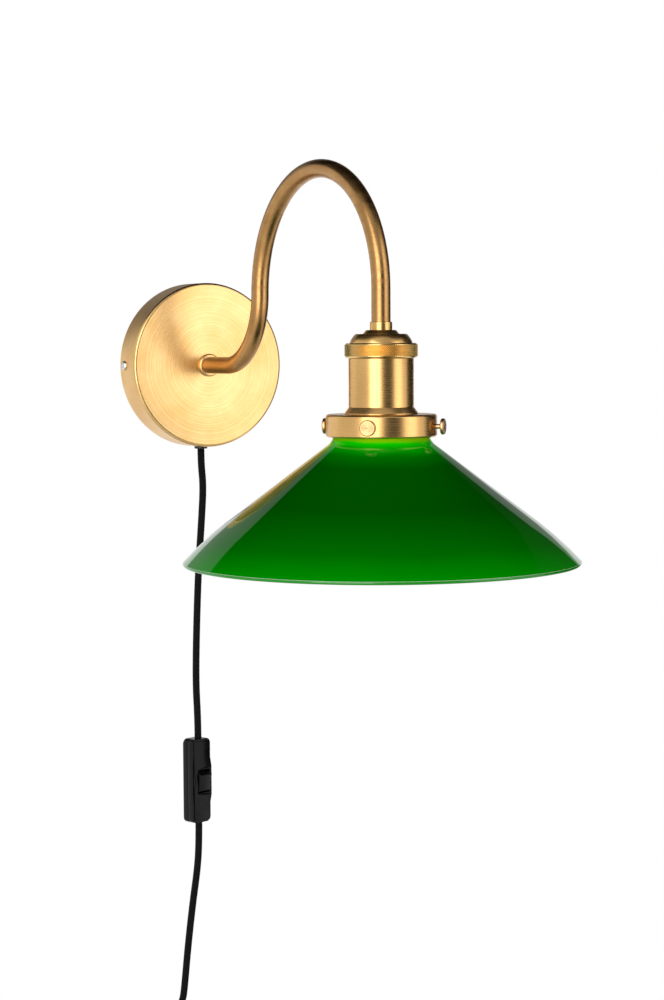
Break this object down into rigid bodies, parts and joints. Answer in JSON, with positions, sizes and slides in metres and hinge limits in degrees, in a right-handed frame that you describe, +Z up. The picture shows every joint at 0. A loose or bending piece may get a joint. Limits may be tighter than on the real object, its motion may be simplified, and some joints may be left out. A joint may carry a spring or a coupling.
{
  "type": "gooseneck wall sconce",
  "caption": "Gooseneck wall light: round canopy, arched brass tube, cone glass shade on a gallery with thumb screws, and a braided cord with rocker switch, coil and plug.",
  "frame": {"origin": "middle of the canopy's back, on the wall plane", "axes": "+Y into the wall, so the arm stands out towards -Y; +Z up; +X to the right of someone who faces the wall"},
  "size_m": [0.2544, 0.3932, 0.7463],
  "materials": {
    "brushed_brass": "brushed and clear-lacquered",
    "nickel_steel": "nickel-plated",
    "zinc_steel": "zinc-plated",
    "contact_brass": "plain",
    "black_plastic": "moulded satin",
    "black_gloss": "moulded gloss",
    "black_braid": "braided textile",
    "tie_webbing": "woven",
    "wire_insulation": "extruded",
    "ivory_plastic": "moulded",
    "phenolic": "moulded",
    "porcelain": "glazed",
    "green_glass": "cased glass, glossy",
    "opal_glass": "satin opal"
  },
  "bodies": {
    "fixture": {"canopy": "brushed_brass", "canopy_screws": "nickel_steel", "wall_bracket": "zinc_steel", "arm_collar": "brushed_brass", "arm_nipple": "zinc_steel", "arm_washer": "zinc_steel", "arm_locknut": "zinc_steel", "gooseneck_arm": "brushed_brass", "arm_wires": "wire_insulation", "terminal_block": "ivory_plastic", "terminal_inserts": "contact_brass", "terminal_screws": "zinc_steel", "cord_gland": "black_plastic", "cord_stop": "black_plastic", "cord_entry": "black_braid", "holder_ferrule": "brushed_brass", "holder_nipple": "zinc_steel", "lampholder_cap": "brushed_brass", "lampholder_body": "brushed_brass", "lampholder_sleeve": "phenolic", "lampholder_base": "porcelain", "base_terminals": "contact_brass", "thread_shell": "contact_brass", "centre_contact": "contact_brass", "shade_gallery": "brushed_brass", "shade_ring": "phenolic", "glass_shade": "green_glass", "cord_upper": "black_braid", "cord_lower": "black_braid", "cord_coil": "black_braid", "coil_tie": "tie_webbing", "switch_base": "black_gloss", "switch_cover": "black_gloss", "rocker_pin": "zinc_steel", "switch_contacts": "contact_brass", "switch_terminals": "contact_brass", "switch_saddles": "black_plastic", "switch_screws": "zinc_steel", "switch_leads": "black_braid", "plug_body": "black_plastic", "plug_pins": "nickel_steel"},
    "rocker": {"switch_rocker": "black_gloss", "contact_bridge": "contact_brass"},
    "ring": {"knurled_ring": "brushed_brass"},
    "thumb_front": {"thumb_screw_front": "brushed_brass"},
    "thumb_left": {"thumb_screw_left": "brushed_brass"},
    "thumb_back": {"thumb_screw_back": "brushed_brass"},
    "thumb_right": {"thumb_screw_right": "brushed_brass"},
    "bulb": {"bulb_globe": "opal_glass", "bulb_cap": "nickel_steel", "bulb_contact": "contact_brass"}
  },
  "joints": [
    {"name": "rocker_hinge", "type": "hinge", "parent": "fixture", "child": "rocker", "pos_m": [-0.00427, -0.01122, -0.3095], "axis": [-0.9563, -0.2924, 0], "range_deg": [0, 22]},
    {"name": "ring_turn", "type": "hinge", "parent": "fixture", "child": "ring", "pos_m": [0, -0.266, 0.01], "axis": [0, 0, 1], "range_deg": [0, 90]},
    {"name": "thumb_front_slide", "type": "slide", "parent": "fixture", "child": "thumb_front", "axis": [-0.7071, -0.7071, 0], "range_m": [0, 0.004]},
    {"name": "thumb_left_slide", "type": "slide", "parent": "fixture", "child": "thumb_left", "axis": [-0.7071, 0.7071, 0], "range_m": [0, 0.004]},
    {"name": "thumb_back_slide", "type": "slide", "parent": "fixture", "child": "thumb_back", "axis": [0.7071, 0.7071, 0], "range_m": [0, 0.004]},
    {"name": "thumb_right_slide", "type": "slide", "parent": "fixture", "child": "thumb_right", "axis": [0.7071, -0.7071, 0], "range_m": [-0.003, 0.001]},
    {"name": "bulb_slide", "type": "slide", "parent": "fixture", "child": "bulb", "axis": [0, 0, -1], "range_m": [0, 0.03]}
  ]
}
